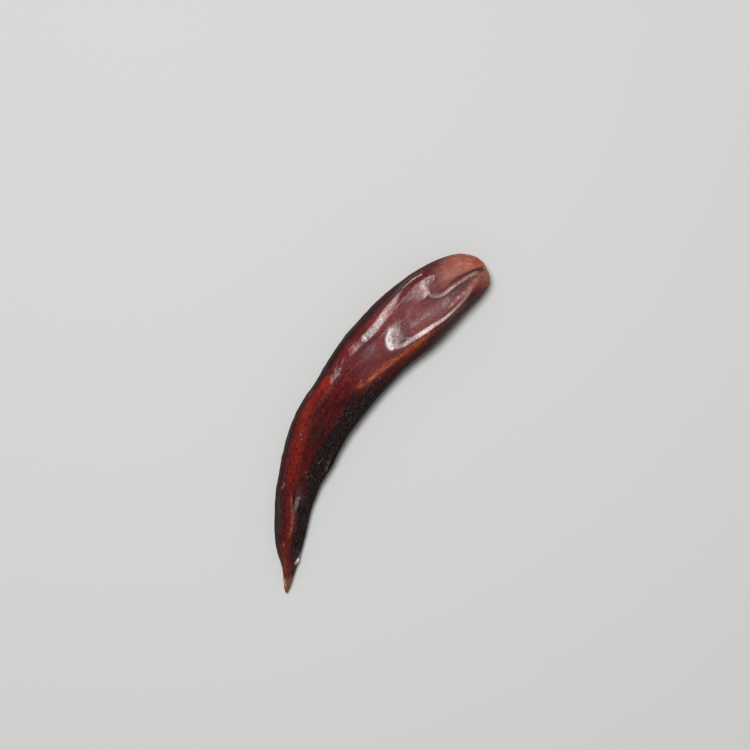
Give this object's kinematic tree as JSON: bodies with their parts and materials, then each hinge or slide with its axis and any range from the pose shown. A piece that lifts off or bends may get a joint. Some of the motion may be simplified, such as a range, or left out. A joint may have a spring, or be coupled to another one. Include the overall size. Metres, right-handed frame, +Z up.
{
  "type": "dried guajillo chili",
  "caption": "Whole dried chili pod with a bowed, ridged and tapering skin and a dry calyx remnant in its stem end, lying on its side.",
  "frame": {"origin": "middle of the footprint, on the surface the pod lies on", "axes": "+X along the straight line from the stem end to the tip, the pod bows towards -Y, +Z up"},
  "size_m": [0.12, 0.0296, 0.016],
  "materials": {
    "skin": "glossy wrinkled dried skin, dark maroon with red, orange and near-black zones",
    "dry_calyx": "matt dry straw-coloured plant fibre"
  },
  "bodies": {
    "root": {"pod": "skin", "calyx_remnant": "dry_calyx"}
  },
  "joints": []
}
